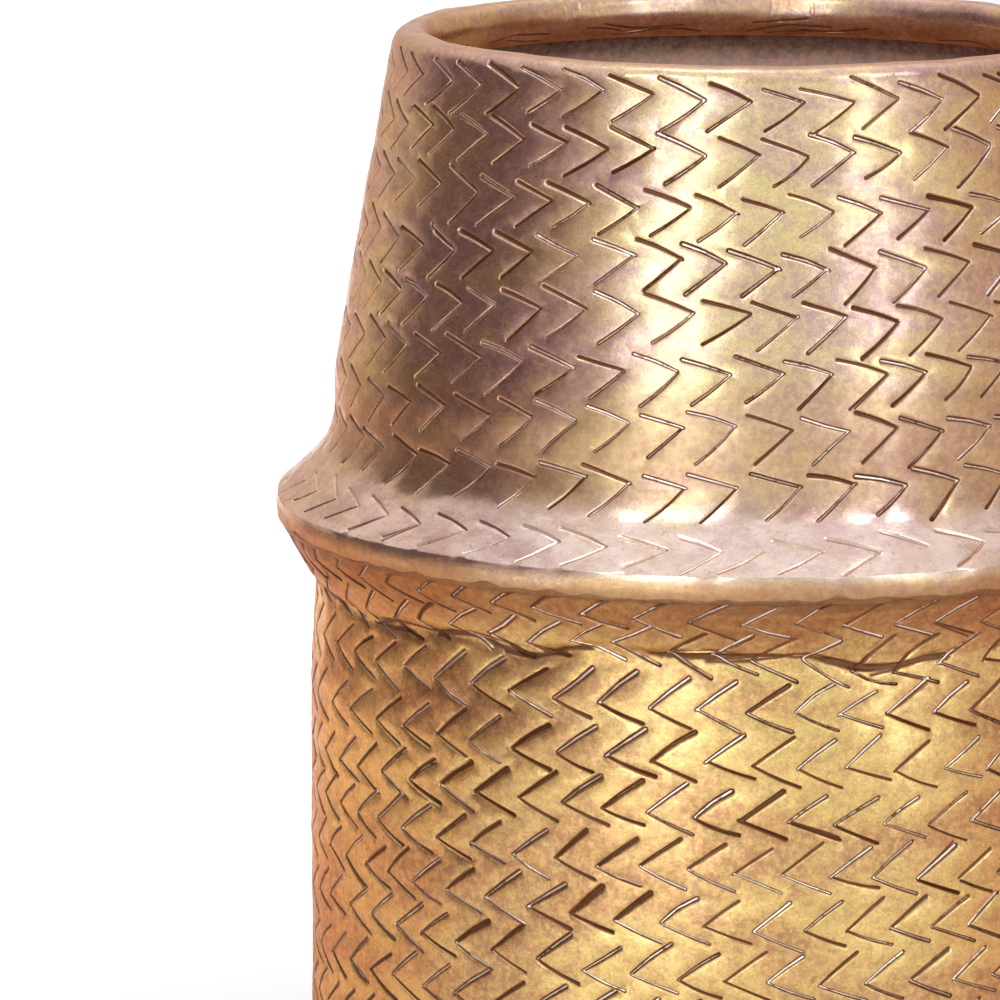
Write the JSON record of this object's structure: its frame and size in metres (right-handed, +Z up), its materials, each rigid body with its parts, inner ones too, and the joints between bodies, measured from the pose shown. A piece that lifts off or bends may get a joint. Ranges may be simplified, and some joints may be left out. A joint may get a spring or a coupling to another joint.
{
  "type": "planter pot",
  "caption": "Free-standing round sheet-brass planter pot: tapering upper shell over a straight lower shell, a raised ridge between them, a rolled rim and rows of chased chevrons.",
  "frame": {"origin": "centre of the bottom, on the surface that the pot stands on", "axes": "+Z up the pot's axis; -Y is the front, and +X is to the right of the front"},
  "size_m": [0.3009, 0.3009, 0.36],
  "materials": {
    "upper_brass": "hand-worked aged brass, satin, rose-brown patina",
    "lower_brass": "hand-worked aged brass, satin, golden brown patina",
    "base_brass": "aged brass, dull",
    "braze": "brazing brass, satin",
    "rod_steel": "plain mild steel rod"
  },
  "bodies": {
    "root": {"upper_wall": "upper_brass", "lower_wall": "lower_brass", "rim_rod": "rod_steel", "ridge_seam": "braze", "upper_side_seam": "braze", "lower_side_seam": "braze", "base_plate": "base_brass", "base_seam": "braze"}
  },
  "joints": []
}
